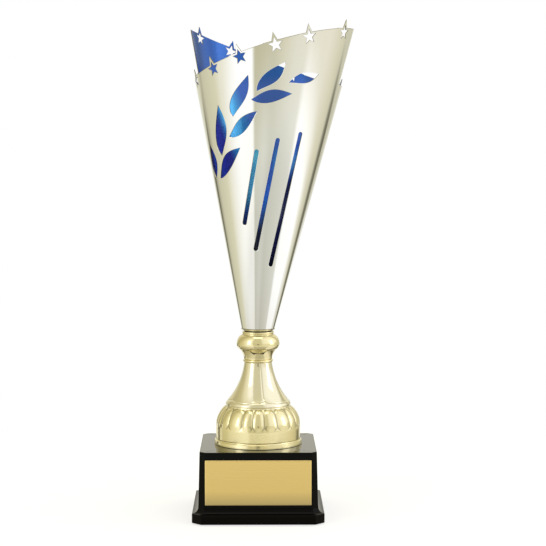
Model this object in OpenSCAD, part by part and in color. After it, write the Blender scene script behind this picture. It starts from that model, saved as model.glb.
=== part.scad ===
// Award cup: a laser-cut cone of two half sheets on a gold stem and a black base.
// Millimetres, +Z up, origin at the centre of the underside, front face toward -Y.
// Azimuths are counted about the cone's own axis from the front (-Y) toward +X.

/* [Base] */
// Width across the plinth at the foot of the base
plinth_w = 100; // [80:1:140]
// Height of the plinth's upright edge
plinth_h = 7.6; // [5:0.2:12]
// Total height of the base
base_h = 54; // [42:1:80]
// Width of the block where it meets the plinth
block_foot_w = 90.4; // [72:0.4:128]
// Width of the block at its top
block_top_w = 88.4; // [70:0.4:124]
// Cut across each upright corner of the block
block_corner = 4.2; // [2:0.2:7]
// Wall of the moulded base
base_wall = 3.2; // [2.4:0.2:5]

/* [Title plate] */
// Width of the engraving plate
plate_w = 80; // [60:1:84]
// Height of the engraving plate
plate_h = 34; // [20:1:36]
// Thickness of the engraving plate
plate_t = 0.6; // [0.4:0.1:1.2]

/* [Stem] */
// Radius of the foot of the bell
bell_r = 34; // [28:0.5:40]
// Height of the bell from the base to its neck
bell_h = 63.4; // [54:0.2:80]
// Radius of the neck at the top of the bell
neck_r = 10.4; // [9:0.2:13]
// Largest radius of the knop
knop_r = 16.3; // [14:0.1:20]
// Height of the knop, shoulder to foot
knop_h = 19.1; // [16:0.1:26]
// Number of lobes round the bell
lobes = 20; // [10:5:30]
// Number of petals round the bell
petals = 5; // [4:1:8]

/* [Cup] */
// Angle between the cone's axis and its side
cone_half = 13.1; // [11:0.1:15]
// Radius of the cone at its foot
cone_foot_r = 12.8; // [11:0.2:16]
// How far the cone leans off upright
cone_lean = 4.2; // [0:0.1:6]
// Direction of the lean, from +X toward +Y
lean_dir = 54; // [0:1:360]
// Thickness of the sheet
sheet_t = 0.6; // [0.4:0.1:1.2]
// Mean length of the sheet from foot to rim
rim_mid = 215.8; // [190:0.2:240]
// How far the rim swings above and below the mean
rim_swing = 22; // [8:0.5:26]
// Size of a rim star from centre to point
star_r = 9.8; // [7:0.1:12]
// Size of the hole in a rim star
star_hole_r = 5.8; // [4:0.1:7]
// Width of the long slots
slot_w = 2.8; // [2:0.1:4]

/* [Fastening] */
// Radius of the tie rod
rod_r = 3; // [2.5:0.5:4]

/* [Hidden] */
$fn = 96;
cove = (plinth_w - block_foot_w) / 2;
cove_top = plinth_h + cove;
plinth_corner = block_corner + cove * (2 - sqrt(2));
rim_z = 0.5;
felt_t = 1.5;
cover_t = 2;
cover_top = felt_t + cover_t;
cover_w = plinth_w - 7;
top_wall = 4;
cavity_foot_w = block_foot_w - 2 * base_wall;
cavity_top_w = block_top_w - 2 * base_wall;
cavity_top = base_h - top_wall;
boss_at = cavity_foot_w / 2 - 6;
weight_w = cavity_top_w - 10;
weight_h = 16;
weight_z = cavity_top - weight_h;
washer_t = 1.6;
spring_t = 1.5;
nut_h = 5;
nut_af = 10 * rod_r / 3;
draft = atan((block_foot_w - block_top_w) / 2 / (base_h - cove_top));
plate_z = (base_h + cove_top) / 2 - 1.9;
plate_face = block_foot_w / 2 - (plate_z - cove_top) * tan(draft);
tape_t = 0.3;
ring_h = 3.6;
bell_top = base_h + bell_h;
petal_z = base_h + bell_h * 0.505;
lobe_foot_z = base_h + bell_h * 0.22;
dome_r = bell_r - 1.7;
kink_r = bell_r - 8.6;
skirt_z = petal_z - 1.8;
lobe_shift = [-2.7, -2.3, 2.5, -0.5];
neck_ring_h = 2.2;
knop_z = bell_top + neck_ring_h;
shoulder_z = knop_z + knop_h;
collar_r = knop_r - 5.1;
collar_h = 2.6;
gasket_t = 0.8;
cap_z = shoulder_z + collar_h + gasket_t;
cap_lip = 1.3;
foot_z = cap_z + cap_lip;
plug_h = 4;
foot_s = cone_foot_r / sin(cone_half);
apex_h = cone_foot_r / tan(cone_half);
seam_az = 71;
rod_bot = weight_z - washer_t - spring_t - nut_h - 2;
rod_top = foot_z + plug_h + washer_t + nut_h + 3;
leaf_steps = 12;
star_sink = star_r * 0.35;
foot_spare = cone_foot_r * 0.25;
cut_deep = cone_foot_r * 1.1;
lap_gap = 0.04;
stars_front = [[-77, -16], [-46.3, -16], [-21.8, -16], [3.5, -16], [26.7, -15], [57.5, -6]];
stars_back = [[-77, -16], [-46.3, -16], [-18.9, -16], [3.5, -16], [29.5, -16], [58.5, -8]];
// each leaf: base point, tip point, bow to the left, bow to the right, where each bow is fullest
leaves = [
    [[-46.4, 110.5], [-55.9, 136.1], 4.8, 6.7, 0.67, 0.85],
    [[-36.9, 130.1], [-41.5, 168.4], 6.0, 6.8, 0.64, 1.1],
    [[-39.7, 111.9], [-19.8, 138.7], 6.6, 3.6, 1.12, 0.71],
    [[-26.7, 161.2], [-15.7, 193.6], 6.4, 4.4, 0.63, 1.26],
    [[-29.8, 145.8], [-7.7, 167.3], 4.2, 5.1, 1.16, 0.71],
    [[-8.7, 181.9], [11.9, 204.5], 4.8, 5.2, 0.76, 1.25],
    [[-12.5, 175.6], [17.9, 180.9], 5.4, 4.1, 1.04, 0.74],
    [[15, 189.1], [40.1, 194.8], 4.7, 3.6, 0.92, 1.3]
];
slots = [
    [[-6.9, 136.9], [-14.1, 81.7]],
    [[8.5, 146.1], [-4.4, 62.6]],
    [[26.6, 150.4], [7.5, 50.7]]
];

black = [0.05, 0.05, 0.055];
gold = [0.86, 0.78, 0.5];
silver = [0.84, 0.83, 0.78];
steel = [0.6, 0.6, 0.62];

// ---------- base ----------

// a bar with sloping sides, running along Y
module bar(w0, w1, z0, z1) {
    rotate([90, 0, 0])
        linear_extrude(height = plinth_w * 2, center = true)
            polygon([[-w0 / 2, z0], [w0 / 2, z0], [w1 / 2, z1], [-w1 / 2, z1]]);
}

// a square block with sloping sides and cut corners
module block(w0, w1, z0, z1, corner) {
    intersection() {
        bar(w0, w1, z0, z1);
        rotate([0, 0, 90])
            bar(w0, w1, z0, z1);
        rotate([0, 0, 45])
            bar((w0 - corner) * sqrt(2), (w1 - corner) * sqrt(2), z0, z1);
        rotate([0, 0, -45])
            bar((w0 - corner) * sqrt(2), (w1 - corner) * sqrt(2), z0, z1);
    }
}

// the hollow that rounds the plinth up into the block, one side at a time
module cove_cuts() {
    for (a = [0:90:270]) {
        rotate([0, 0, a])
            translate([plinth_w / 2, 0, cove_top])
                rotate([90, 0, 0])
                    cylinder(h = plinth_w * 2, r = cove, center = true);
        rotate([0, 0, a + 45])
            translate([(plinth_w - plinth_corner) / sqrt(2), 0, cove_top])
                rotate([90, 0, 0])
                    cylinder(h = plinth_w, r = cove, center = true);
    }
}

module at_corners(d) {
    for (x = [-d, d])
        for (y = [-d, d])
            translate([x, y, 0])
                children();
}

module base_shell() {
    color(black)
    difference() {
        union() {
            difference() {
                block(plinth_w, plinth_w, rim_z, cove_top, plinth_corner);
                cove_cuts();
            }
            block(block_foot_w, block_top_w, cove_top, base_h, block_corner);
        }
        difference() {
            block(cavity_foot_w, cavity_top_w, cover_top - 1, cavity_top, 3);
            at_corners(boss_at)
                cylinder(h = cover_top + 11, r = 4.6);
            for (a = [0:90:270])
                rotate([0, 0, a + 45])
                    translate([boss_at * sqrt(2), -2, 0])
                        cube([12, 4, cover_top + 11]);
        }
        block(cover_w + 0.4, cover_w + 0.4, 0, cover_top, plinth_corner - 1);
        at_corners(boss_at)
            cylinder(h = cover_top + 9, r = 1.45);
        cylinder(h = base_h + 1, r = rod_r + 0.3);
    }
}

module base_weight() {
    color([0.25, 0.25, 0.26])
    difference() {
        block(weight_w, weight_w, weight_z, cavity_top, 8);
        cylinder(h = base_h, r = rod_r + 0.3);
    }
}

module ring(r_out, r_in, z, h) {
    translate([0, 0, z])
        difference() {
            cylinder(h = h, r = r_out);
            translate([0, 0, -1])
                cylinder(h = h + 2, r = r_in);
        }
}

module base_washer() {
    color(steel)
        ring(rod_r * 3.3, rod_r + 0.2, weight_z - washer_t, washer_t);
}

// one turn of square wire with a slit
module base_spring_washer() {
    color(steel)
    difference() {
        ring(rod_r * 1.95, rod_r + 0.1, weight_z - washer_t - spring_t, spring_t);
        rotate([0, 0, 20])
            translate([rod_r - 1, 0, weight_z - washer_t - spring_t - 1])
                rotate([14, 0, 0])
                    cube([rod_r * 2, 0.9, spring_t + 3]);
    }
}

// six-sided nut with turned-down corners
module nut(z) {
    translate([0, 0, z])
        difference() {
            intersection() {
                cylinder(h = nut_h, r = nut_af / sqrt(3), $fn = 6);
                union() {
                    cylinder(h = nut_h / 2, r1 = nut_af / 2, r2 = nut_af / 2 + nut_h);
                    translate([0, 0, nut_h / 2])
                        cylinder(h = nut_h / 2, r1 = nut_af / 2 + nut_h, r2 = nut_af / 2);
                }
            }
            translate([0, 0, -1])
                cylinder(h = nut_h + 2, r = rod_r);
        }
}

module base_nut() {
    color(steel)
        nut(weight_z - washer_t - spring_t - nut_h);
}

module base_cover() {
    color([0.1, 0.1, 0.11])
    difference() {
        block(cover_w, cover_w, felt_t, cover_top, plinth_corner - 1.2);
        at_corners(boss_at)
            translate([0, 0, felt_t - 0.01])
                cylinder(h = cover_t + 0.02, r1 = 3.02, r2 = 1.6);
        translate([0, 0, felt_t - 1])
            cylinder(h = cover_t + 2, r = 8);
    }
}

// countersunk screws with a cross recess
module cover_screws() {
    color(steel)
    at_corners(boss_at)
        difference() {
            union() {
                translate([0, 0, felt_t])
                    cylinder(h = cover_t, r1 = 2.95, r2 = 1.4);
                translate([0, 0, felt_t + cover_t])
                    cylinder(h = 6, r = 1.4);
                translate([0, 0, felt_t + cover_t + 6])
                    cylinder(h = 1.4, r1 = 1.4, r2 = 0.3);
            }
            translate([-1.7, -0.3, 0])
                cube([3.4, 0.6, felt_t + 1]);
            translate([-0.3, -1.7, 0])
                cube([0.6, 3.4, felt_t + 1]);
        }
}

module felt_pad() {
    color([0.08, 0.2, 0.12])
        block(cover_w - 3, cover_w - 3, 0, felt_t, plinth_corner - 1.5);
}

// ---------- title plate ----------

module on_front_face() {
    translate([0, -plate_face, plate_z])
        rotate([90 - draft, 0, 0])
            children();
}

module plate_tape() {
    color([0.9, 0.9, 0.88])
    on_front_face()
        translate([-plate_w / 2 + 1, -plate_h / 2 + 1, 0])
            cube([plate_w - 2, plate_h - 2, tape_t]);
}

module title_plate() {
    color([0.85, 0.72, 0.42])
    on_front_face()
        translate([-plate_w / 2, -plate_h / 2, tape_t])
            cube([plate_w, plate_h, plate_t]);
}

// ---------- stem ----------

// half a turned section: the flare is a hollow arc, the dome a full one
module bell_half(grow) {
    difference() {
        polygon([
            [0, skirt_z], [kink_r + grow, skirt_z],
            [kink_r + grow, bell_top], [0, bell_top]
        ]);
        translate([flare_x, flare_z])
            circle(r = flare_arc - grow);
    }
    intersection() {
        translate([dome_x, lobe_foot_z])
            circle(r = dome_arc + grow);
        translate([0, lobe_foot_z])
            square([bell_r * 2, petal_z - lobe_foot_z - 0.5]);
    }
    translate([0, lobe_foot_z - 0.5])
        square([dome_x, petal_z - lobe_foot_z]);
    translate([0, base_h + (grow < -1 ? -1 : 0)])
        square([dome_r + grow, lobe_foot_z - base_h + (grow < -1 ? 1 : 0)]);
}
bell_wall = 2.6;
coat_t = 0.8;
dome_arc = 20.5;
dome_x = dome_r - dome_arc;
flare_arc = 54.2;
flare_x = neck_r + flare_arc - 0.4;
flare_z = bell_top + 5.9;

// a groove between two lobes, running up the dome
module groove() {
    translate([dome_x, 0, lobe_foot_z])
        rotate([90, 0, 0])
            rotate([0, 0, -3])
                rotate_extrude(angle = 50)
                    translate([dome_arc + 2.1, 0])
                        circle(r = 3.2);
}

// a fine groove between two petals, running down the flare
module petal_line() {
    translate([flare_x, 0, flare_z])
        rotate([90, 0, 0])
            rotate([0, 0, 187])
                rotate_extrude(angle = 25)
                    translate([flare_arc, 0])
                        circle(r = 0.55);
}

// what is cut away below one petal, leaving its rounded foot
module petal_cut() {
    wide = bell_r * tan(180 / petals + 0.4);
    difference() {
        translate([0, 0, petal_z - 8])
            linear_extrude(height = 12)
                polygon([[0, 0], [bell_r, -wide], [bell_r, wide]]);
        translate([0, 0, petal_foot_z + petal_big])
            rotate([0, 90, 0])
                cylinder(h = bell_r + 1, r = petal_big);
    }
}

// the raised petals: a thin coat over the flare, scalloped at its foot
module petal_coat() {
    difference() {
        rotate_extrude()
            difference() {
                translate([neck_r - 3, petal_foot_z - 1])
                    square([kink_r - neck_r + 3, bell_top - petal_foot_z + 1]);
                translate([flare_x, flare_z])
                    circle(r = flare_arc);
            }
        for (i = [0:petals - 1])
            rotate([0, 0, petal_az + 360 / petals * (i + 0.5) - 90])
                petal_cut();
        for (i = [0:petals - 1])
            rotate([0, 0, petal_az + 360 / petals * i - 90])
                petal_line();
    }
}
petal_az = 11;
petal_foot_z = petal_z + 1.4;
petal_big = 50 * 5 / petals;

module stem_bell() {
    color(gold)
    difference() {
        union() {
            rotate_extrude()
                bell_half(-coat_t);
            rotate_extrude()
                intersection() {
                    bell_half(0);
                    translate([0, base_h])
                        square([bell_r, petal_foot_z - base_h - 0.8]);
                }
            petal_coat();
        }
        rotate_extrude()
            intersection() {
                bell_half(-bell_wall);
                translate([0, base_h - 1])
                    square([bell_r, bell_h - 4]);
            }
        for (i = [0:lobes - 1])
            rotate([0, 0, petal_az + 360 / lobes * i + lobe_shift[i % 4] - 90])
                groove();
        translate([0, 0, base_h - 1])
            difference() {
                cylinder(h = ring_h + 0.6, r = bell_r);
                cylinder(h = ring_h + 0.6, r = dome_r - 1.6);
            }
        cylinder(h = 400, r = rod_r + 0.3);
    }
}

module bell_foot_ring() {
    color(gold)
    rotate_extrude()
        polygon(concat(
            [[dome_r - 1.55, base_h], [bell_r, base_h], [bell_r, base_h + ring_h - 1.4]],
            [for (a = [0:15:90]) [bell_r - 1 + cos(a), base_h + ring_h - 1.4 + sin(a)]],
            [[dome_r + 0.05, base_h + ring_h - 0.4], [dome_r - 1.55, base_h + ring_h - 0.4]]
        ));
}

module neck_ring() {
    color(gold)
    rotate_extrude()
        polygon(concat(
            [[rod_r + 0.3, bell_top]],
            [for (a = [-90:15:90]) [neck_r + 0.1 + cos(a) * neck_ring_h / 2, bell_top + neck_ring_h / 2 * (1 + sin(a))]],
            [[rod_r + 0.3, bell_top + neck_ring_h]]
        ));
}

// foot, hollow taper, crease, round belly, shoulder
function knop_line() = concat(
    [for (i = [0:8]) let (t = i / 8) [neck_r + 0.5 + (knop_r - 1.9 - neck_r - 0.5) * pow(t, 2), knop_z + knop_h * 0.42 * t]],
    [for (a = [-44:10:66]) [knop_r - 6.4 + 6.4 * cos(a), knop_z + knop_h * 0.61 + 6.4 * sin(a) * (a < 0 ? 0.8 : 1.25)]],
    [[collar_r + 0.5, shoulder_z]]
);

module stem_knop() {
    color(gold)
    rotate_extrude()
        polygon(concat(
            [[rod_r + 0.3, knop_z]],
            knop_line(),
            [[collar_r - 2, shoulder_z], [collar_r - 2, shoulder_z + collar_h - 0.2]],
            [[rod_r + 0.3, shoulder_z + collar_h - 0.2]]
        ));
}

module stem_collar() {
    color(gold)
    rotate_extrude()
        polygon(concat(
            [[collar_r - 1.95, shoulder_z]],
            [for (a = [-90:15:90]) [collar_r - 0.8 + 0.8 * cos(a), shoulder_z + 0.8 + 0.8 * sin(a) + (a > 0 ? 1 : 0) * (collar_h - 1.6)]],
            [[collar_r - 1.95, shoulder_z + collar_h]]
        ));
}

module cone_gasket() {
    color([0.12, 0.1, 0.08])
        ring(collar_r - 0.6, rod_r + 0.3, shoulder_z + collar_h, gasket_t);
}

// ---------- cup ----------

// stand a piece made on the upright cone over onto its leaning axis
module lean() {
    translate([0, 0, foot_z])
        rotate([0, 0, lean_dir])
            rotate([0, cone_lean, 0])
                rotate([0, 0, -lean_dir])
                    children();
}

// fold a point of the flat sheet onto the cone: [azimuth, distance from the apex]
function fold(p) = [atan2(p[0], p[1] + foot_s) / sin(cone_half), norm([p[0], p[1] + foot_s])];
// the same point seen square on in the plane that touches the cone at azimuth a
function touch(q, a) = [
    q[1] * sin(cone_half) * sin(q[0] - a),
    q[1] * (pow(sin(cone_half), 2) * cos(q[0] - a) + pow(cos(cone_half), 2))
];
function rim_s(az) = foot_s + rim_mid + rim_swing * sin(0.966 * (az + 8.5));

// work in the plane that touches the cone at azimuth a, its Y running up the side
module on_cone(a) {
    rotate([0, 0, a])
        translate([0, 0, -apex_h])
            rotate([90 + cone_half, 0, 0])
                children();
}

module cone_foot_cap() {
    color(silver)
    difference() {
        union() {
            translate([0, 0, cap_z])
                cylinder(h = cap_lip, r1 = cone_foot_r - 0.7, r2 = cone_foot_r + 0.5);
            intersection() {
                translate([0, 0, foot_z - 0.3])
                    cylinder(h = plug_h + 0.3, r = cone_foot_r * 2);
                lean()
                    translate([0, 0, -3])
                        cylinder(h = 12, r1 = cap_side(-3), r2 = cap_side(9));
            }
        }
        cylinder(h = 400, r = rod_r + 0.3);
    }
}
function cap_side(z) = cone_foot_r + z * tan(cone_half) - sheet_t / cos(cone_half) - 0.05;

module cone_washer() {
    color(steel)
        ring(rod_r * 2.9, rod_r + 0.2, foot_z + plug_h, washer_t);
}

module cone_nut() {
    color(steel)
        nut(foot_z + plug_h + washer_t);
}

module tie_rod() {
    color(steel) {
        translate([0, 0, rod_bot + 0.8])
            cylinder(h = rod_top - rod_bot - 1.6, r = rod_r);
        translate([0, 0, rod_bot])
            cylinder(h = 0.8, r1 = rod_r - 0.8, r2 = rod_r);
        translate([0, 0, rod_top - 0.8])
            cylinder(h = 0.8, r1 = rod_r, r2 = rod_r - 0.8);
    }
}

function star(r, turn) = [
    for (i = [0:9]) let (q = (i % 2 == 0) ? r : r * 0.42) [q * sin(36 * i + turn), q * cos(36 * i + turn)]
];

// half a cone of sheet, with a joggled lap strip inside its right-hand seam
module half_cone() {
    tall = (foot_s + rim_mid + rim_swing + star_r * 1.6) * cos(cone_half) - apex_h;
    lap_tall = (rim_s(-109) - star_sink) * cos(cone_half) - apex_h;
    rotate([0, 0, seam_az - 270])
        rotate_extrude(angle = 180)
            sheet_section(-foot_spare, tall, 0, sheet_t);
    difference() {
        rotate([0, 0, seam_az - 94])
            rotate_extrude(angle = 7)
                sheet_section(0.5 - foot_spare, lap_tall, sheet_t / 2, sheet_t * 2 + lap_gap);
        rotate([0, 0, seam_az - 90.5])
            rotate_extrude(angle = 5)
                sheet_section(-foot_spare * 2, lap_tall + foot_spare, -sheet_t, sheet_t + lap_gap);
    }
}

// the wall between two depths below the outside of the cone
module sheet_section(z0, z1, d0, d1) {
    function side(z, d) = cone_foot_r + z * tan(cone_half) - d / cos(cone_half);
    polygon([[side(z0, d1), z0], [side(z0, d0), z0], [side(z1, d0), z1], [side(z1, d1), z1]]);
}

// what is cut away above the rim between two azimuths, leaving a star standing
module rim_cut(a0, a1, st) {
    mid = (a0 + a1) / 2;
    n = 8;
    top = foot_s + rim_mid + rim_swing + star_r * 3;
    centre = touch([st[0], rim_s(st[0]) - star_sink], mid);
    on_cone(mid)
        translate([0, 0, -cut_deep])
            linear_extrude(height = cut_deep * 1.25)
                difference() {
                    polygon(concat(
                        [for (i = [0:n]) let (a = a0 + (a1 - a0) * i / n) touch([a, rim_s(a)], mid)],
                        [touch([a1, top], mid), touch([a0, top], mid)]
                    ));
                    translate(centre)
                        polygon(star(star_r, st[1]));
                }
}

module star_hole(st) {
    on_cone(st[0])
        translate([0, rim_s(st[0]) - star_sink, -cut_deep / 3])
            linear_extrude(height = cut_deep / 2)
                polygon(star(star_hole_r, st[1]));
}

function leaf_side(a, b, bow, full) = [
    for (i = [0:leaf_steps])
        let (t = i / leaf_steps, d = b - a, n = [-d[1], d[0]] / norm(d))
        a + d * t + n * bow * sin(180 * pow(t, full))
];

module leaf(l) {
    mid = fold((l[0] + l[1]) / 2)[0];
    left = leaf_side(l[0], l[1], l[2], l[4]);
    right = leaf_side(l[0], l[1], -l[3], l[5]);
    edge = concat(
        [for (i = [0:leaf_steps]) left[i]],
        [for (i = [leaf_steps - 1:-1:1]) right[i]]
    );
    on_cone(mid)
        translate([0, 0, -cut_deep * 0.65])
            linear_extrude(height = cut_deep * 0.8)
                polygon([for (p = edge) touch(fold(p), mid)]);
}

module slot(s) {
    mid = fold((s[0] + s[1]) / 2)[0];
    a = touch(fold(s[0]), mid);
    b = touch(fold(s[1]), mid);
    along = atan2(a[1] - b[1], a[0] - b[0]);
    on_cone(mid)
        translate([0, 0, -cut_deep * 0.45])
            linear_extrude(height = cut_deep * 0.6)
                polygon(concat(
                    [for (i = [-90:15:90]) a + slot_w / 2 * [cos(along + i), sin(along + i)]],
                    [for (i = [90:15:270]) b + slot_w / 2 * [cos(along + i), sin(along + i)]]
                ));
}

module half_sheet(stars) {
    edges = [-112, -62, -34, -9, 15, 42, 74];
    difference() {
        half_cone();
        for (i = [0:5])
            rim_cut(edges[i] - 1.2, edges[i + 1] + 1.2, stars[i]);
        for (i = [0:5])
            star_hole(stars[i]);
    }
}

module cone_front_sheet() {
    color(silver)
    difference() {
        lean()
            difference() {
                half_sheet(stars_front);
                for (l = leaves)
                    leaf(l);
                for (s = slots)
                    slot(s);
            }
        translate([0, 0, foot_z - foot_spare * 4])
            cylinder(h = foot_spare * 4, r = cone_foot_r * 2);
    }
}

module cone_back_sheet() {
    color([0.25, 0.4, 0.75])
    difference() {
        lean()
            rotate([0, 0, 180])
                half_sheet(stars_back);
        translate([0, 0, foot_z - foot_spare * 4])
            cylinder(h = foot_spare * 4, r = cone_foot_r * 2);
    }
}

base_shell();
base_weight();
base_washer();
base_spring_washer();
base_nut();
base_cover();
cover_screws();
felt_pad();
plate_tape();
title_plate();
stem_bell();
bell_foot_ring();
neck_ring();
stem_knop();
stem_collar();
cone_gasket();
cone_foot_cap();
cone_washer();
cone_nut();
tie_rod();
cone_front_sheet();
cone_back_sheet();
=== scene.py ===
import math
import bpy
import numpy as np
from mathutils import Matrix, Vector
from mathutils.geometry import delaunay_2d_cdt


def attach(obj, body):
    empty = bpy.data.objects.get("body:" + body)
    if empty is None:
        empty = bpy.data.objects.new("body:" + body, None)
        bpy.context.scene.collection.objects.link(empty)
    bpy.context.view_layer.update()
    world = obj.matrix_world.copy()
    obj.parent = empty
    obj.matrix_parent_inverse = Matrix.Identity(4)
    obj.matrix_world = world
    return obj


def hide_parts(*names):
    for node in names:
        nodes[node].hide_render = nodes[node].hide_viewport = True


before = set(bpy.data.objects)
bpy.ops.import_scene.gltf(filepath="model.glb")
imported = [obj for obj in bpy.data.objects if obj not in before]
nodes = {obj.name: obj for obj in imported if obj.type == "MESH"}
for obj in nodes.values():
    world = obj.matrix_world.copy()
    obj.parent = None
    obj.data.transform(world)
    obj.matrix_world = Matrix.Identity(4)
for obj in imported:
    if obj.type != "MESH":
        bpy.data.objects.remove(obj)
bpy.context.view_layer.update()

# ---------------------------------------------------------------- base shell
# The base is one hollow moulding in gloss black plastic: a wide plinth with
# cut corners, a cove, and a block that narrows a little to its flat top.
# The stem is drawn down onto it by a rod through the hole in its top.
MM = 0.001
PLINTH_W, BLOCK_FOOT_W, BLOCK_TOP_W = 100.0, 90.4, 88.4
PLINTH_H, COVE, BASE_H = 7.6, 4.8, 54.0
BLOCK_CUT, PLINTH_CUT = 4.2, 7.01
COVE_TOP = PLINTH_H + COVE
TOP_EDGE, PLINTH_EDGE, CORNER = 0.6, 0.5, 0.7
RIM_Z, ROOF_Z, ROD_HOLE_R = 0.5, 50.0, 3.3


def cut_square_line(side, cut_side, soft):
    """One level line of a block with cut corners, as (x, y) points.

    side and cut_side are the distances from the middle to the four sides and
    to the four cuts. Each of the eight corners is an arc of radius soft about
    the point that is soft inside both of its sides: x n1 = d1 - soft and
    x n2 = d2 - soft. A point a little way along each side goes with each arc,
    so that the flat sides shade flat.
    """
    turn = np.radians(45.0 * np.arange(8))
    d = np.where(np.arange(8) % 2 == 0, side, cut_side) - soft
    n1 = np.stack([np.cos(turn), np.sin(turn)], 1)
    n2 = np.roll(n1, -1, axis=0)
    d2 = np.roll(d, -1)
    cross = n1[:, 0] * n2[:, 1] - n1[:, 1] * n2[:, 0]
    x = (d * n2[:, 1] - d2 * n1[:, 1]) / cross
    y = (n1[:, 0] * d2 - n2[:, 0] * d) / cross
    centre = np.stack([x, y], 1)
    swing = turn[:, None] + np.radians(45.0) * np.linspace(0, 1, 6)[None, :]
    arc = centre[:, None, :] + soft * np.stack([np.cos(swing), np.sin(swing)], 2)
    along1 = np.stack([-n1[:, 1], n1[:, 0]], 1)
    along2 = np.stack([-n2[:, 1], n2[:, 0]], 1)
    step = 0.45 + 0.3 * soft
    before = arc[:, :1] - step * along1[:, None, :]
    after = arc[:, -1:] + step * along2[:, None, :]
    return np.concatenate([before, arc, after], axis=1).reshape(-1, 2)


def stepped_in(width, cut_side, steps, heights, soft=CORNER):
    """Level lines, each a step in from sides and cuts: rows of (side, cut side, height, soft)."""
    return [(width / 2 - step, cut_side - step, z, soft) for step, z in zip(steps, heights)]


def level_rings(lines, heights):
    """Stacks level lines, (n, 2) each, at their heights: points as (rings, n, 3)."""
    flat = np.stack(lines)
    z = np.broadcast_to(np.asarray(heights, float)[:, None, None], flat.shape[:2] + (1,))
    return np.concatenate([flat, z], axis=2)


def lattice_faces(rows, columns, close_rows=False, close_columns=True):
    """Quads of a grid of rows x columns points, row after row, closed on itself where asked."""
    r = np.arange(rows if close_rows else rows - 1)
    c = np.arange(columns if close_columns else columns - 1)
    r, c = (g.ravel() for g in np.meshgrid(r, c, indexing="ij"))
    r2, c2 = (r + 1) % rows, (c + 1) % columns
    return np.stack([r * columns + c, r * columns + c2, r2 * columns + c2, r2 * columns + c], 1)


def make_piece(name, points, faces, finishes, which=None, flat=None):
    """A mesh object of that name on the body, from points in millimetres and faces.

    which gives each face's finish. All faces are smooth but those marked flat.
    """
    skin = bpy.data.meshes.new(name)
    places = np.asarray(points, float).reshape(-1, 3) * MM
    skin.from_pydata(places.tolist(), [], [list(map(int, face)) for face in faces])
    smooth = np.ones(len(skin.polygons), bool)
    if flat is not None:
        smooth &= ~np.asarray(flat, bool)
    skin.polygons.foreach_set("use_smooth", smooth)
    for finish in finishes:
        skin.materials.append(finish)
    if which is not None:
        skin.polygons.foreach_set("material_index", np.asarray(which, np.int32))
    skin.update()
    piece = bpy.data.objects.new(name, skin)
    bpy.context.scene.collection.objects.link(piece)
    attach(piece, "root")
    return piece


def new_finish(name, **values):
    """An empty node material of that name, with its shader: (material, node tree, shader).

    values fills the shader's sockets, with a low line for each space in their names.
    """
    finish = bpy.data.materials.new(name)
    finish.use_nodes = True
    tree = finish.node_tree
    shader = tree.nodes["Principled BSDF"]
    for socket, value in values.items():
        shader.inputs[socket.replace("_", " ")].default_value = value
    return finish, tree, shader


def add_step(tree, kind, values=None, **settings):
    """Adds one shader node.

    values fills its sockets, each with a number, a colour or another node's output.
    """
    step = tree.nodes.new(kind)
    for key, value in settings.items():
        setattr(step, key, value)
    for key, value in (values or {}).items():
        if isinstance(value, bpy.types.NodeSocket):
            tree.links.new(value, step.inputs[key])
        else:
            step.inputs[key].default_value = value
    return step


def feed(shader, socket, output):
    """Links a node's output to a socket of the shader."""
    shader.id_data.links.new(output, shader.inputs[socket])


def speckle(tree, scale, detail=3.0, stretch=(1.0, 1.0, 1.0), turn=(0.0, 0.0, 0.0)):
    """Noise in the piece's own coordinates, scale in cells a metre.

    It is drawn out along the axes that stretch makes small.
    """
    where = add_step(tree, "ShaderNodeTexCoord").outputs["Object"]
    laid = add_step(tree, "ShaderNodeMapping",
                    {"Vector": where, "Scale": stretch, "Rotation": turn}).outputs["Vector"]
    return add_step(tree, "ShaderNodeTexNoise",
                    {"Vector": laid, "Scale": scale, "Detail": detail}).outputs["Fac"]


def between(tree, fac, low, high, start=0.3, end=0.7):
    """Spreads a value that goes from start to end between two numbers."""
    spread = {"Value": fac, "From Min": start, "From Max": end, "To Min": low, "To Max": high}
    return add_step(tree, "ShaderNodeMapRange", spread).outputs["Result"]


def blend(tree, fac, first, second, kind="MIX"):
    """Mixes or multiplies two colours, plain or outputs, by a 0 to 1 value."""
    sockets = {0: fac, 6: first, 7: second}
    return add_step(tree, "ShaderNodeMix", sockets, data_type="RGBA", blend_type=kind).outputs[2]


def two_tones(tree, fac, dark, light):
    """Mixes two plain colours by a 0 to 1 value."""
    return blend(tree, fac, (*dark, 1), (*light, 1))


def tint(shader, fac, dark, light):
    """Colours a finish between two tones by a 0 to 1 value."""
    feed(shader, "Base Color", two_tones(shader.id_data, fac, dark, light))


def polish(shader, fac, smoothest, roughest):
    """Spreads a finish's roughness between two numbers by a noise."""
    feed(shader, "Roughness", between(shader.id_data, fac, smoothest, roughest))


def relief(shader, height, depth_mm):
    """Bump from a 0 to 1 height, depth_mm deep."""
    sockets = {"Height": height, "Distance": depth_mm * MM}
    feed(shader, "Normal", add_step(shader.id_data, "ShaderNodeBump", sockets).outputs["Normal"])


def black_plastic(name, ior, smoothest, roughest, depth_mm):
    """Gloss black plastic, with a faint cloud in its tone, its gloss and its flatness."""
    finish, tree, shader = new_finish(name, IOR=ior)
    tint(shader, speckle(tree, 60), (0.0022, 0.0022, 0.0021), (0.0032, 0.0031, 0.0029))
    polish(shader, speckle(tree, 140, 4.0), smoothest, roughest)
    relief(shader, speckle(tree, 28, 1.0), depth_mm)
    return finish


moulded_black = black_plastic("gloss_black_plastic", 1.15, 0.05, 0.13, 0.03)
polished_top = black_plastic("polished_black_top", 1.75, 0.02, 0.05, 0.01)

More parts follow.
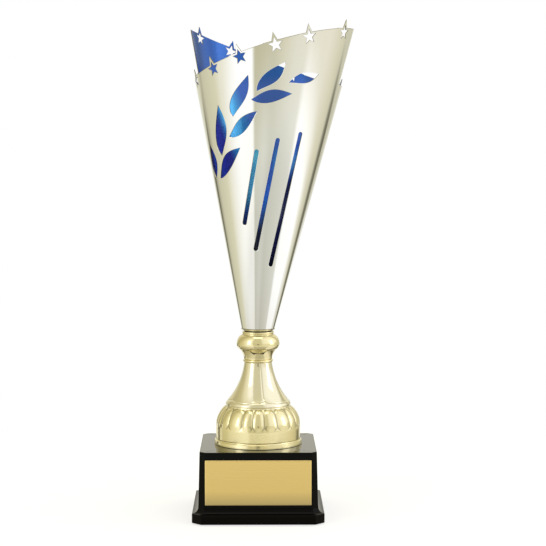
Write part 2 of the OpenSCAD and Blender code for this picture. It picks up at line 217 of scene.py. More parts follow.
edge = np.radians(np.linspace(0, 90, 6))
cove_turn = np.radians(np.linspace(90, 9, 14))
cut_plinth = (PLINTH_W - PLINTH_CUT) / math.sqrt(2)
cut_top = (BLOCK_TOP_W - BLOCK_CUT) / math.sqrt(2)
cut_foot = (BLOCK_FOOT_W - BLOCK_CUT) / math.sqrt(2)
# the leaning face: its heights, and how far each is from the top to the cove
face_z = np.array([BASE_H - 1.4, 42.0, 26.0, COVE_TOP + 0.8, COVE_TOP + 0.1])
face_part = (BASE_H - face_z) / (BASE_H - COVE_TOP)
face_side = (BLOCK_TOP_W + (BLOCK_FOOT_W - BLOCK_TOP_W) * face_part) / 2
face_cut = cut_top + (cut_foot - cut_top) * face_part
# the outside, from the flat top down to the edge of the recess
outline = (
    stepped_in(BLOCK_TOP_W, cut_top, [6.0], [BASE_H], 0.3)
    + stepped_in(BLOCK_TOP_W, cut_top, [1.5], [BASE_H])
    + stepped_in(BLOCK_TOP_W, cut_top, TOP_EDGE * (1 - np.sin(edge)),
                 BASE_H - TOP_EDGE + TOP_EDGE * np.cos(edge))
    + [(side, cut, z, CORNER) for side, cut, z in zip(face_side, face_cut, face_z)]
    + stepped_in(PLINTH_W, cut_plinth, COVE * np.sin(cove_turn),
                 COVE_TOP - COVE * np.cos(cove_turn))
    + stepped_in(PLINTH_W, cut_plinth, PLINTH_EDGE * (1 - np.sin(edge)),
                 PLINTH_H - PLINTH_EDGE + PLINTH_EDGE * np.cos(edge))
    + stepped_in(PLINTH_W, cut_plinth, [0, 0, 0], [PLINTH_H - 1.0, 4.0, 1.6])
    + stepped_in(PLINTH_W, cut_plinth, PLINTH_EDGE * (1 - np.cos(edge)),
                 RIM_Z + PLINTH_EDGE - PLINTH_EDGE * np.sin(edge))
)
# the inside, as (side, cut side, height) rows: recess for the cover, its roof, and the cavity
inside = [(*row, CORNER) for row in (
    (46.9, 62.5, RIM_Z), (46.7, 62.3, 0.7), (46.7, 62.3, 3.4), (46.6, 62.2, 3.5),
    (42.1, 57.4, 3.5), (42.0, 57.3, 3.7), (41.0, 55.9, 49.6), (40.8, 55.7, ROOF_Z))]
lines = [cut_square_line(side, cut, soft) for side, cut, _, soft in outline + inside]
around = np.arctan2(lines[0][:, 1], lines[0][:, 0])
hole = np.stack([np.cos(around), np.sin(around)], 1)
# the hole for the rod, with a softened edge, and a ring that keeps the flat top even
above = [(ROD_HOLE_R, BASE_H - 0.2), (3.5, BASE_H), (4.0, BASE_H), (20.0, BASE_H)]
below = [(30.0, ROOF_Z), (ROD_HOLE_R, ROOF_Z)]
lines = [hole * r for r, _ in above] + lines + [hole * r for r, _ in below]
heights = [z for _, z in above] + [row[2] for row in outline + inside] + [z for _, z in below]
rings = level_rings(lines, heights)
faces = lattice_faces(len(lines), len(hole), close_rows=True)[:, ::-1]
on_top = rings.reshape(-1, 3)[faces][:, :, 2].min(1) > BASE_H - 0.01
base = make_piece("moulded_base", rings, faces, [moulded_black, polished_top], on_top)
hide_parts("base_shell")

# ---------------------------------------------------------------- base inside
# A cast-iron block under the roof of the shell gives the base its weight. A
# washer, a split spring washer and a nut on the tie rod hold it there.
cast_iron, tree, shader = new_finish("cast_iron", Metallic=0.85)
tint(shader, speckle(tree, 240, 6.0), (0.035, 0.033, 0.032), (0.1, 0.095, 0.09))
polish(shader, speckle(tree, 420), 0.55, 0.8)
relief(shader, speckle(tree, 900, 6.0), 0.25)
nodes["base_weight"].data.materials[0] = cast_iron

zinc_steel, tree, shader = new_finish("zinc_plated_steel", Metallic=1.0)
tint(shader, speckle(tree, 900, 5.0), (0.48, 0.49, 0.51), (0.68, 0.69, 0.7))
polish(shader, speckle(tree, 1600), 0.22, 0.42)
relief(shader, speckle(tree, 2600, 4.0), 0.03)
for name in ("base_washer", "base_spring_washer", "base_nut",
             "cone_washer", "cone_nut", "tie_rod", "cover_screws"):
    nodes[name].data.materials[0] = zinc_steel

# ---------------------------------------------------------------- underside
# A flat cover of matt plastic closes the base, held by four small countersunk
# screws, and a pad of green felt is glued over it for the cup to stand on.
matt_black, tree, shader = new_finish("matt_black_plastic")
tint(shader, speckle(tree, 300), (0.012, 0.012, 0.013), (0.02, 0.02, 0.021))
polish(shader, speckle(tree, 700), 0.5, 0.68)
relief(shader, speckle(tree, 2200, 4.0), 0.05)
nodes["base_cover"].data.materials[0] = matt_black

green_felt, tree, shader = new_finish("green_felt", Roughness=0.95, Sheen_Weight=0.4)
fibre = speckle(tree, 900, 8.0, (1.0, 0.35, 1.0), (0.0, 0.0, 0.6))
tint(shader, fibre, (0.006, 0.03, 0.014), (0.03, 0.1, 0.05))
relief(shader, speckle(tree, 1400, 8.0), 0.5)
nodes["felt_pad"].data.materials[0] = green_felt

# ---------------------------------------------------------------- title plate
# The engraving plate is a blank of thin gold-anodised aluminium with a fine
# bevel round it, held to the front of the block by double-sided tape.
PLATE_W, PLATE_H, PLATE_T, TAPE_T = 80.0, 34.0, 0.6, 0.3
PLATE_CORNER, ROUND_STEP, BELOW_MIDDLE = 0.6, 0.55, 1.9
draft = math.atan((BLOCK_FOOT_W - BLOCK_TOP_W) / 2 / (BASE_H - COVE_TOP))
plate_z = (BASE_H + COVE_TOP) / 2 - BELOW_MIDDLE
plate_face = BLOCK_FOOT_W / 2 - (plate_z - COVE_TOP) * math.tan(draft)


def plate_rings(width, height, layers):
    """Level rings of a plate with round corners, from (step in, height above its back) layers.

    Up to ROUND_STEP a step in shrinks the corners' radius, and past that it
    moves the whole ring in.
    """
    turn = np.radians(np.arange(0, 360, 90)[:, None] + np.linspace(0, 90, 5)[None, :])
    way = np.stack([np.cos(turn), np.sin(turn)], 2)
    corner = np.array([[1, 1], [-1, 1], [-1, -1], [1, -1]])[:, None, :]
    middle = corner * (np.array([width, height]) / 2 - PLATE_CORNER)
    rings = []
    for step, up in layers:
        shrunk = min(step, ROUND_STEP)
        line = middle + way * (PLATE_CORNER - shrunk) - corner * (step - shrunk)
        rings.append(np.concatenate([line, np.full((4, 5, 1), up)], axis=2).reshape(-1, 3))
    return np.stack(rings)


layers = [(2.0, 0.0), (0.02, 0.0), (0.0, 0.05), (0.0, PLATE_T - 0.24), (0.08, PLATE_T - 0.1),
          (0.24, PLATE_T), (0.9, PLATE_T), (3.0, PLATE_T)]
rings = plate_rings(PLATE_W, PLATE_H, layers)
points = rings.reshape(-1, 3) + [0, 0, TAPE_T]
# stand the plate up on the block's leaning face
c, s = math.cos(math.pi / 2 - draft), math.sin(math.pi / 2 - draft)
points = points @ np.array([[1, 0, 0], [0, c, -s], [0, s, c]]).T + [0, -plate_face, plate_z]
rows, columns = rings.shape[:2]
faces = lattice_faces(rows, columns).tolist()
faces += [list(range(columns))[::-1], list(range((rows - 1) * columns, rows * columns))]


def own_place(tree):
    """The piece's own coordinates in metres, as the outputs X, Y and Z."""
    spot = add_step(tree, "ShaderNodeTexCoord").outputs["Object"]
    return add_step(tree, "ShaderNodeSeparateXYZ", {0: spot}).outputs


def reckon(tree, operation, *values):
    """One step of arithmetic on numbers or outputs."""
    return add_step(tree, "ShaderNodeMath", dict(enumerate(values)), operation=operation).outputs[0]


gold_plate, tree, shader = new_finish("gold_anodised_aluminium", Metallic=1.0)
brushed = speckle(tree, 500, 6.0, (0.02, 1.0, 6.0))
# the plate is painted darker toward its foot, painted shade standing for a darker reflection there
plate_painted_shade = between(tree, own_place(tree)["Z"], 0.0, 0.92, 0.0135, 0.025)
tone = reckon(tree, "ADD", plate_painted_shade, between(tree, brushed, 0.0, 0.08))
tint(shader, tone, (0.55, 0.445, 0.225), (0.93, 0.71, 0.295))
polish(shader, brushed, 0.27, 0.31)
relief(shader, speckle(tree, 1500, 4.0, (0.03, 1.0, 5.0)), 0.0008)
plate = make_piece("engraving_plate", points, faces, [gold_plate])
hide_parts("title_plate")

adhesive, tree, shader = new_finish("adhesive_tape", Roughness=0.8)
tint(shader, speckle(tree, 500), (0.62, 0.61, 0.56), (0.74, 0.73, 0.68))
relief(shader, speckle(tree, 1800), 0.03)
nodes["plate_tape"].data.materials[0] = adhesive

# ---------------------------------------------------------------- stem bell
# The stem's foot is a bell moulded in plastic and metallised pale gold. Five
# broad petals hang down its flare over a ring of lobes, above a plain band.
BELL_R, BELL_H, NECK_R, BAND_FOOT = 34.0, 63.4, 10.4, 58.2
BELL_TOP, PETAL_Z = BASE_H + BELL_H, BASE_H + 0.505 * BELL_H
# middle (r, z) and radius of the flare's hollow arc and of the dome's full one, the heights
# where the petals' edge starts and the flare ends, and the angle at which the dome starts
FLARE = (NECK_R + 53.8, BELL_TOP + 5.9, 54.2)
DOME = (BELL_R - 21.8, BASE_H + 0.22 * BELL_H, 20.5)
EDGE_Z, FLARE_FOOT, DOME_START = 91.0, 87.2, 51.9
PETAL_AZ, PETALS = 11.0, 5
PETAL_FOOT, PETAL_R, PETAL_BIG, PETAL_RISE = PETAL_Z + 1.4, 24.0, 50.0, 0.35
SKIRT_Z, SKIRT_R, BEAD_RISE, GROOVE_DEPTH = PETAL_Z - 1.8, 24.9, 0.5, 0.12
# the partings of the four lobes in each fifth of the turn, and where the lobes start and end
LOBE_LINES = np.array((-79.5, -63.7, -45.3, -22.5, -7.5))
LOBE_LOW, LOBE_HIGH, LOBE_DEPTH = -1.0, 19.0, 0.8


def bell_line(count_flare, count_dome, count_band):
    """The bell's plain half section from neck to foot, as (r, z).

    The flare is a hollow arc, the dome a full one, and the band stands upright.
    """
    x, z, big = FLARE
    half = count_flare // 2
    up = np.r_[np.linspace(BELL_TOP, EDGE_Z, half), np.linspace(EDGE_Z - 0.15, FLARE_FOOT, half)]
    flare = np.stack([x - np.sqrt(big ** 2 - (up - z) ** 2), up], 1)
    lip = np.array([[SKIRT_R, 0.75], [24.88, 0.4], [24.75, 0.15], [24.6, 0.02]]) + [0, SKIRT_Z]
    hem = np.linspace(flare[-1], lip[0], 14)[1:-1]
    x, z, big = DOME
    turn = np.radians(np.linspace(DOME_START, 0, count_dome))
    dome = np.stack([x + big * np.cos(turn), z + big * np.sin(turn)], 1)
    down = np.linspace(z, BAND_FOOT, count_band + 1)[1:]
    band = np.stack([np.full(count_band, x + big), down], 1)
    return np.concatenate([flare, hem, lip, dome, band])


def petal_edge(az):
    """Height of the petals' scalloped foot at an azimuth, and the share of half a petal off it.

    Each petal ends in an arc of radius PETAL_BIG, lowest at its middle,
    drawn on the width that the petal has PETAL_R away from the axis.
    """
    half = 180.0 / PETALS
    off = (az - PETAL_AZ) % (2 * half) - half
    across = PETAL_R * np.sin(np.radians(off))
    return PETAL_FOOT + PETAL_BIG - np.sqrt(PETAL_BIG ** 2 - across ** 2), off / half


def smooth_step(x):
    """0 below 0, 1 above 1, and a smooth climb between."""
    x = np.clip(x, 0, 1)
    return x * x * (3 - 2 * x)


def bell_relief(az, line):
    """Height above the plain section, in millimetres, at azimuths (columns) and its points (rows).

    The petals stand proud above their scalloped foot and meet in fine
    grooves. A smooth bead fills the room from the scallops down to the level
    lip of the skirt. Each lobe is the inside of a capsule: with u across it
    and w along it, both -1 to 1, q is hypot(u, the part of w past its
    straight middle), and the surface sinks by q to the power 2.5. Outside
    q = 1 it stays sunk up to the skirt, and closes softly below. The second
    result is 1 along the partings between the lobes, where q is 1.
    """
    az, z = np.broadcast_arrays(az[None, :], line[:, 1:2])
    r = np.broadcast_to(line[:, :1], z.shape)
    foot, off = petal_edge(az)
    above = (z - foot) / np.sqrt(1.25)
    petal = PETAL_RISE * smooth_step(above / 0.5 + 0.5)
    room = np.clip((z - SKIRT_Z) / (foot - SKIRT_Z), 0, 1)
    bead = BEAD_RISE * (1 - np.abs(2 * room - 1) ** 2.4) * (room > 0) * (room < 1)
    across = (1 - np.abs(off)) * np.radians(180.0 / PETALS) * r
    ends = smooth_step(above / 1.5) * smooth_step((BELL_TOP - 1.0 - z) / 8.0)
    groove = GROOVE_DEPTH * np.exp(-((across / 0.5) ** 2)) * ends
    _, zc, big = DOME
    climb = np.where(z > zc, big * np.arcsin(np.clip((z - zc) / big, -1, 1)), z - zc)
    w = (climb - (LOBE_LOW + LOBE_HIGH) / 2) / ((LOBE_HIGH - LOBE_LOW) / 2)
    turn = (az - LOBE_LINES[0]) % (360.0 / PETALS) + LOBE_LINES[0]
    at = np.searchsorted(LOBE_LINES, turn, side="right") - 1
    left, right = LOBE_LINES[at], LOBE_LINES[at + 1]
    u = 2 * (turn - left) / (right - left) - 1
    q = np.hypot(u, np.clip((np.abs(w) - 0.4) / 0.6, 0, None))
    outside = np.where(w > 0, 1.0, np.exp(-(((q - 1) / 0.5) ** 2)))
    under_skirt = smooth_step((SKIRT_Z - 0.1 - z) / 0.5)
    lobes = np.where(q < 1, q ** 2.5, outside) * smooth_step((climb + 1.8) / 6.5) * under_skirt
    # 1 along the partings, where the gold is painted darker as painted shade
    parting_shade = np.exp(-(((q - 1) / 0.14) ** 2)) * smooth_step((climb + 1.8) / 4.0) * under_skirt
    return petal + bead - groove - LOBE_DEPTH * lobes, parting_shade


def turned(line, count=96, start=0.0):
    """Turns a half section of (r, z) points about the upright axis: points as (rings, count, 3)."""
    az = np.radians(start + 360.0 * np.arange(count) / count)
    r, z = line[:, :1], line[:, 1:]
    return np.stack([r * np.sin(az), -r * np.cos(az), z + 0 * az], 2)


line = bell_line(84, 66, 14)
tangent = np.gradient(line, axis=0)
tangent /= np.linalg.norm(tangent, axis=1, keepdims=True)
outward = np.stack([-tangent[:, 1], tangent[:, 0]], 1)
columns = 480
az = 360.0 * np.arange(columns) / columns + PETAL_AZ
high, parting_shade = bell_relief(az, line)
r = line[:, :1] + high * outward[:, :1]
z = line[:, 1:] + high * outward[:, 1:]
turn = np.radians(az)
skin = np.stack([r * np.sin(turn), -r * np.cos(turn), z], 2)
bore_line = np.array([
    [30.9, BAND_FOOT], [30.0, 58.4], [29.6, 66.0], [26.0, 76.0], [21.0, 84.0], [15.0, 94.0],
    [10.5, 106.0], [8.0, 114.0], [3.4, 115.0], [ROD_HOLE_R, BELL_TOP]])
points = np.concatenate([skin, turned(bore_line, columns, PETAL_AZ)])


def scaled(tree, colour, share):
    """A colour made lighter or darker by a factor."""
    step = add_step(tree, "ShaderNodeVectorMath", {0: colour, "Scale": share}, operation="SCALE")
    return step.outputs["Vector"]


metallised_gold, tree, shader = new_finish(
    "metallised_gold_plastic", Metallic=1.0, Coat_Weight=0.2, Coat_Roughness=0.08)
height = own_place(tree)["Z"]
# the flare is paler than the rest, and the partings of the lobes are painted darker, as painted
# shade in the creases between them
over_skirt = between(tree, height, 0.0, 0.85, 0.0825, 0.085)
under_neck = between(tree, height, 1.0, 0.0, 0.1172, 0.1176)
cloud = between(tree, speckle(tree, 45, 2.0), 0.0, 0.15)
tone = reckon(tree, "ADD", reckon(tree, "MULTIPLY", over_skirt, under_neck), cloud)
gold = two_tones(tree, tone, (0.82, 0.735, 0.43), (0.81, 0.76, 0.57))
parting_shade_fac = add_step(tree, "ShaderNodeAttribute", attribute_name="parting_shade").outputs["Fac"]
feed(shader, "Base Color", scaled(tree, gold, between(tree, parting_shade_fac, 1.0, 0.6)))
# the lobes and the top of the stem are a little less polished than the flare
soft_foot = between(tree, height, 0.06, 0.0, 0.0825, 0.085)
soft_top = between(tree, height, 0.0, 0.04, 0.1265, 0.1285)
grain = between(tree, speckle(tree, 220, 4.0), 0.09, 0.14)
feed(shader, "Roughness", reckon(tree, "ADD", grain, reckon(tree, "ADD", soft_foot, soft_top)))
relief(shader, speckle(tree, 1000, 2.0), 0.03)

bell_faces = lattice_faces(len(points), columns, close_rows=True)
bell = make_piece("gold_bell", points, bell_faces, [metallised_gold])
# the gold is painted darker along the partings, as painted shade
parting_shade_marks = np.zeros(points.shape[:2], np.float32)
parting_shade_marks[:len(parting_shade)] = parting_shade
bell.data.attributes.new("parting_shade", "FLOAT", "POINT").data.foreach_set("value", parting_shade_marks.ravel())
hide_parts("stem_bell")

# ---------------------------------------------------------------- stem rings and knop
# Above and below the bell are separate turned-looking mouldings in the same
# gold: the foot ring that spreads it on the block, the neck ring, the round
# knop with its hollow taper, and the collar that carries the cup.
RING_H, NECK_RING_H, KNOP_R, KNOP_BODY, SHOULDER = 4.4, 2.2, 16.6, 6.4, 19.1


def arc_line(r, z, big_r, big_z, start, end, count):
    """Points of an ellipse's arc about (r, z), big_r and big_z its half axes.

    It goes between two angles, counted from outward.
    """
    turn = np.radians(np.linspace(start, end, count))
    return np.stack([r + big_r * np.cos(turn), z + big_z * np.sin(turn)], 1)


def turned_piece(name, line, node, count=160):
    """A closed section of (r, z) points, anticlockwise, turned into a gold piece for a node."""
    rings = turned(np.asarray(line, float), count)
    faces = lattice_faces(len(line), count, close_rows=True)
    piece = make_piece(name, rings, faces, [metallised_gold])
    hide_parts(node)


turned_piece("bell_ring", np.concatenate([
    [(30.8, BASE_H), (33.3, BASE_H)],
    arc_line(33.65, BASE_H + 0.35, 0.35, 0.35, -90, 4, 6),
    [(33.86, BASE_H + 1.6), (33.64, BASE_H + 2.8)],
    arc_line(33.35, BASE_H + 3.0, 0.28, 0.3, 10, 90, 6),
    arc_line(33.35, BASE_H + 4.3, 0.7, 1.0, -92, -172, 8),
    [(32.65, BASE_H + RING_H), (30.8, BASE_H + RING_H)]]), "bell_foot_ring", 240)

KNOP_Z = BELL_TOP + NECK_RING_H
turned_piece("neck_bead", np.concatenate([
    [(ROD_HOLE_R, BELL_TOP), (9.0, BELL_TOP), (10.2, BELL_TOP)],
    arc_line(10.5, BELL_TOP + 1.1, 1.1, 1.1, -88, 88, 16),
    [(10.2, KNOP_Z), (9.0, KNOP_Z), (ROD_HOLE_R, KNOP_Z)]]), "neck_ring")

SHOULDER_Z = KNOP_Z + SHOULDER
up = np.linspace(0, 1, 16)
turned_piece("round_knop", np.concatenate([
    [(ROD_HOLE_R, KNOP_Z), (10.0, KNOP_Z), (10.7, KNOP_Z)],
    np.stack([10.9 + 3.4 * up ** 2, KNOP_Z + 7.9 * up], 1),
    arc_line(KNOP_R - KNOP_BODY, KNOP_Z + 11.65, KNOP_BODY, 5.2, -42, 0, 14)[:-1],
    arc_line(KNOP_R - KNOP_BODY, KNOP_Z + 11.65, KNOP_BODY, 8.0, 0, 66, 26),
    [(11.6, SHOULDER_Z - 0.2), (11.0, SHOULDER_Z), (9.3, SHOULDER_Z), (9.2, SHOULDER_Z + 0.2),
     (9.2, SHOULDER_Z + 2.1), (9.0, SHOULDER_Z + 2.3), (ROD_HOLE_R, SHOULDER_Z + 2.3)],
    ]), "stem_knop")

turned_piece("cup_collar", np.concatenate([
    [(9.25, SHOULDER_Z), (12.3, SHOULDER_Z)],
    arc_line(12.9, SHOULDER_Z + 0.5, 0.9, 0.6, 200, 165, 4),
    arc_line(11.5, SHOULDER_Z + 1.7, 0.8, 0.9, -60, 90, 12),
    [(10.6, SHOULDER_Z + 2.6), (9.25, SHOULDER_Z + 2.6)]]), "stem_collar")

# ---------------------------------------------------------------- cup fixing
# The cup sits on a thin rubber gasket. Its foot is closed by a turned plug
# with a small lip, drawn down by a washer and nut on the tie rod.
rubber, tree, shader = new_finish("dark_rubber")
tint(shader, speckle(tree, 600), (0.012, 0.01, 0.008), (0.03, 0.025, 0.02))
polish(shader, speckle(tree, 900), 0.55, 0.75)
relief(shader, speckle(tree, 2400), 0.04)
nodes["cone_gasket"].data.materials[0] = rubber

turned_aluminium, tree, shader = new_finish("turned_aluminium", Metallic=1.0)
lathe = (0.2, 0.2, 3.0)
tint(shader, speckle(tree, 700, 3.0, lathe), (0.6, 0.58, 0.52), (0.7, 0.68, 0.62))
polish(shader, speckle(tree, 900, 4.0, lathe), 0.2, 0.32)
relief(shader, speckle(tree, 1400, 3.0, lathe), 0.01)
nodes["cone_foot_cap"].data.materials[0] = turned_aluminium

# ---------------------------------------------------------------- cup
# The cup is a cone rolled from two half blanks of laser-cut sheet, silver
# outside and lacquered blue inside, lapped at both seams and leaning a little.
# Stars stand along its sweeping rim, and leaves and slots are cut through.
CONE_HALF, CONE_FOOT_R, CUP_FOOT_Z = math.radians(13.1), 12.8, 143.4
LEAN, LEAN_DIR, SHEET_T, SEAM_AZ = math.radians(4.2), math.radians(54.0), 0.6, 71.0
SIN_HALF, COS_HALF = math.sin(CONE_HALF), math.cos(CONE_HALF)
FOOT_S, APEX_H = CONE_FOOT_R / SIN_HALF, CONE_FOOT_R / math.tan(CONE_HALF)
RIM_RISE, RIM_WAVE, WAVE_RATE, WAVE_START = 215.8, 22.0, 0.966, -8.5
STAR_R, HOLE_R, STAR_SINK, STAR_WAIST = 9.76, 5.8, 3.43, 0.42
# the azimuths that part a half's stars, and its stars as (azimuth of the middle, turn)
SEAMS = (-112, -62, -34, -9, 15, 42, 74)
STARS_FRONT = ((-77, -16), (-46.3, -16), (-21.8, -16), (3.5, -16), (26.7, -15), (57.5, -6))
STARS_BACK = ((-77, -16), (-46.3, -16), (-18.9, -16), (3.5, -16), (29.5, -16), (58.5, -8))
# leaves as (base, tip, bow to the left, bow to the right, fullness of each), slots as two ends
LEAVES = (
    ((-46.4, 110.5), (-55.9, 136.1), 4.8, 6.7, 0.67, 0.85),
    ((-36.9, 130.1), (-41.5, 168.4), 6.0, 6.8, 0.64, 1.1),
    ((-39.7, 111.9), (-19.8, 138.7), 6.6, 3.6, 1.12, 0.71),
    ((-26.7, 161.2), (-15.7, 193.6), 6.4, 4.4, 0.63, 1.26),
    ((-29.8, 145.8), (-7.7, 167.3), 4.2, 5.1, 1.16, 0.71),
    ((-8.7, 181.9), (11.9, 204.5), 4.8, 5.2, 0.76, 1.25),
    ((-12.5, 175.6), (17.9, 180.9), 5.4, 4.1, 1.04, 0.74),
    ((15, 189.1), (40.1, 194.8), 4.7, 3.6, 0.92, 1.3))
SLOTS = (((-6.9, 136.9), (-14.1, 81.7)), ((8.5, 146.1), (-4.4, 62.6)), ((26.6, 150.4), (7.5, 50.7)))
# the width of a slot and of the painted dark outline along an edge, how deep the sheet's face
# lies, and how far the shading leans out over an edge
SLOT_W, OUTLINE_W, FACE_DEPTH, EDGE_LEAN = 3.4, 0.3, 0.002, 0.45
# the lap strip: degrees before and past the seam, length left free at foot and rim, and its gap
LAP_BEFORE, LAP_PAST, LAP_FOOT, LAP_RIM, LAP_GAP = 4.0, 3.0, 9.0, 3.0, 0.04


def rim_length(az):
    """Distance from the cone's apex to its rim at an azimuth: one slow wave round the cup."""
    wave = np.sin(np.radians(WAVE_RATE * (az - WAVE_START)))
    return FOOT_S + RIM_RISE + RIM_WAVE * wave


def foot_length(az):
    """Distance from the apex to the level cut across the leaning cone's foot, in front.

    The back half has the same blank, so its foot dips a little into the plug's lip.
    """
    lean_part = np.sin(np.radians(az) - LEAN_DIR) * SIN_HALF * math.sin(LEAN)
    return APEX_H * math.cos(LEAN) / (COS_HALF * math.cos(LEAN) - lean_part)


def unroll(az, s):
    """A point of the cone laid out flat on the blank: (across, up) in millimetres from the foot."""
    turn = np.radians(az) * SIN_HALF
    return np.stack([s * np.sin(turn), s * np.cos(turn) - FOOT_S], -1)


def roll_up(flat, depth, turn=0.0):
    """Rolls blank points into the leaning cup, depth below its outside: (points, normals).

    The angle on the blank over the sine of the half angle is the azimuth.
    """
    s = np.hypot(flat[:, 0], flat[:, 1] + FOOT_S)
    az = np.arctan2(flat[:, 0], flat[:, 1] + FOOT_S) / SIN_HALF + math.radians(turn)
    out = s * SIN_HALF - depth * COS_HALF
    up = s * COS_HALF - APEX_H + depth * SIN_HALF
    p = np.stack([out * np.sin(az), -out * np.cos(az), up], 1)
    n = np.stack([COS_HALF * np.sin(az), -COS_HALF * np.cos(az), np.full(len(s), -SIN_HALF)], 1)
    c, s = math.cos(LEAN_DIR), math.sin(LEAN_DIR)
    face = np.array([[c, -s, 0], [s, c, 0], [0, 0, 1]])
    c, s = math.cos(LEAN), math.sin(LEAN)
    lean = face @ np.array([[c, 0, s], [0, 1, 0], [-s, 0, c]]) @ face.T
    return p @ lean.T + [0, 0, CUP_FOOT_Z], n @ lean.T


def star_line(az, mid, turn, size):
    """A five-pointed star on the blank near the rim.

    It is turned from the line up the cone at azimuth mid.
    """
    a = np.radians(36.0 * np.arange(10) + turn) + math.radians(mid) * SIN_HALF
    q = np.where(np.arange(10) % 2 == 0, size, size * STAR_WAIST)
    return unroll(az, rim_length(az) - STAR_SINK) + np.stack([q * np.sin(a), q * np.cos(a)], 1)


def leaf_line(base, tip, left, right, full_left, full_right, count=20):
    """A leaf's outline: each side bows out from base to tip by bow * sin(pi * t ** full)."""
    base, tip = np.array(base, float), np.array(tip, float)
    t = np.linspace(0, 1, count)[:, None]
    way = tip - base
    side = np.array([-way[1], way[0]]) / np.linalg.norm(way)
    a = base + way * t + side * left * np.sin(np.pi * t ** full_left)
    b = base + way * t - side * right * np.sin(np.pi * t ** full_right)
    return np.concatenate([a, b[-2:0:-1]])


def slot_line(a, b, width):
    """A slot with round ends between two points."""
    a, b = np.array(a, float), np.array(b, float)
    along = math.atan2(*(a - b)[::-1])
    swing = np.radians(np.linspace(-90, 90, 9))
    turns = ((a, along + swing), (b, along + math.pi + swing))
    return np.concatenate([p + width / 2 * np.stack([np.cos(t), np.sin(t)], 1) for p, t in turns])


def inside_loop(points, loop):
    """Which points lie inside a closed loop, by counting the edges to their right."""
    x, y = points[:, :1], points[:, 1:]
    x1, y1 = loop[:, 0], loop[:, 1]
    x2, y2 = np.roll(x1, -1), np.roll(y1, -1)
    reach = (x2 - x1) * (y - y1) / np.where(y2 == y1, 1, y2 - y1) + x1
    return (((y1 > y) != (y2 > y)) & (x < reach)).sum(1) % 2 == 1


def set_back(loop, depth):
    """A closed loop moved outwards by depth, or inwards where it is negative.

    Each point moves square to the line through its two neighbours.
    """
    way = np.roll(loop, -1, axis=0) - np.roll(loop, 1, axis=0)
    way /= np.linalg.norm(way, axis=1, keepdims=True)
    after = np.roll(loop, -1, axis=0)
    area = (loop[:, 0] * after[:, 1] - after[:, 0] * loop[:, 1]).sum()
    return loop + depth * np.sign(area) * np.stack([way[:, 1], -way[:, 0]], 1)


def sheet_blank(stars, cuts):
    """The half blank cut flat: (points, triangles, which triangles carry the painted dark outline).

    Everything between foot and rim, with the stars standing on it and the
    cuts taken out. Along every edge but those of the cuts a strip OUTLINE_W
    wide is painted with the darker cut-edge finish, a painted dark outline
    that stands for the reflection along the edge. The triangles join the
    loops' points and a grid between.
    """
    start, end = SEAM_AZ - 180.0, SEAM_AZ
    az = np.linspace(start, end, 181)
    body = np.concatenate([unroll(az, foot_length(az)), unroll(az, rim_length(az))[::-1]])
    mids = [(low + high) / 2 for low, high in zip(SEAMS, SEAMS[1:])]
    whole = [body] + [star_line(az, mid, turn, STAR_R) for (az, turn), mid in zip(stars, mids)]
    star_holes = [star_line(az, az, turn, HOLE_R) for az, turn in stars]
    holes = star_holes + list(cuts)
    outline_loops = [set_back(loop, -OUTLINE_W) for loop in whole]
    outline_hole_loops = [set_back(loop, OUTLINE_W) for loop in holes]
    loops = whole + holes + outline_loops + outline_hole_loops
    az, part = np.meshgrid(np.linspace(start + 1.5, end - 1.5, 119), np.linspace(0.012, 0.99, 34),
                           indexing="ij")
    grid = unroll(az, foot_length(az) + (rim_length(az) - foot_length(az)) * part).reshape(-1, 2)
    starts = np.cumsum([0] + [len(loop) for loop in loops])
    rounds = [k + np.arange(len(loop)) for loop, k in zip(loops, starts)]
    edges = np.concatenate([np.stack([ids, np.roll(ids, -1)], 1) for ids in rounds])
    spots = [Vector(p) for p in np.concatenate(loops + [grid])]
    found = delaunay_2d_cdt(spots, edges.tolist(), [], 0, 1e-4)
    points = np.array([tuple(p) for p in found[0]])
    faces = np.array([f for f in found[2] if len(f) == 3])
    middle = points[faces].mean(1)

    def within(shapes):
        """Which triangles' middles lie inside any of the loops."""
        return np.any([inside_loop(middle, loop) for loop in shapes], axis=0)

    keep = within(whole) & ~within(holes)
    inner = within(outline_loops) & ~within(outline_hole_loops[:len(stars)])
    faces, dark_outline = faces[keep], ~inner[keep]
    a, b, c = (points[faces[:, i]] for i in range(3))
    ab, ac = b - a, c - a
    area = ab[:, 0] * ac[:, 1] - ab[:, 1] * ac[:, 0]
    faces = np.where((area < 0)[:, None], faces[:, ::-1], faces)
    solid = np.abs(area) > 1e-7
    used, faces = np.unique(faces[solid], return_inverse=True)
    return points[used], faces.reshape(-1, 3), dark_outline[solid]


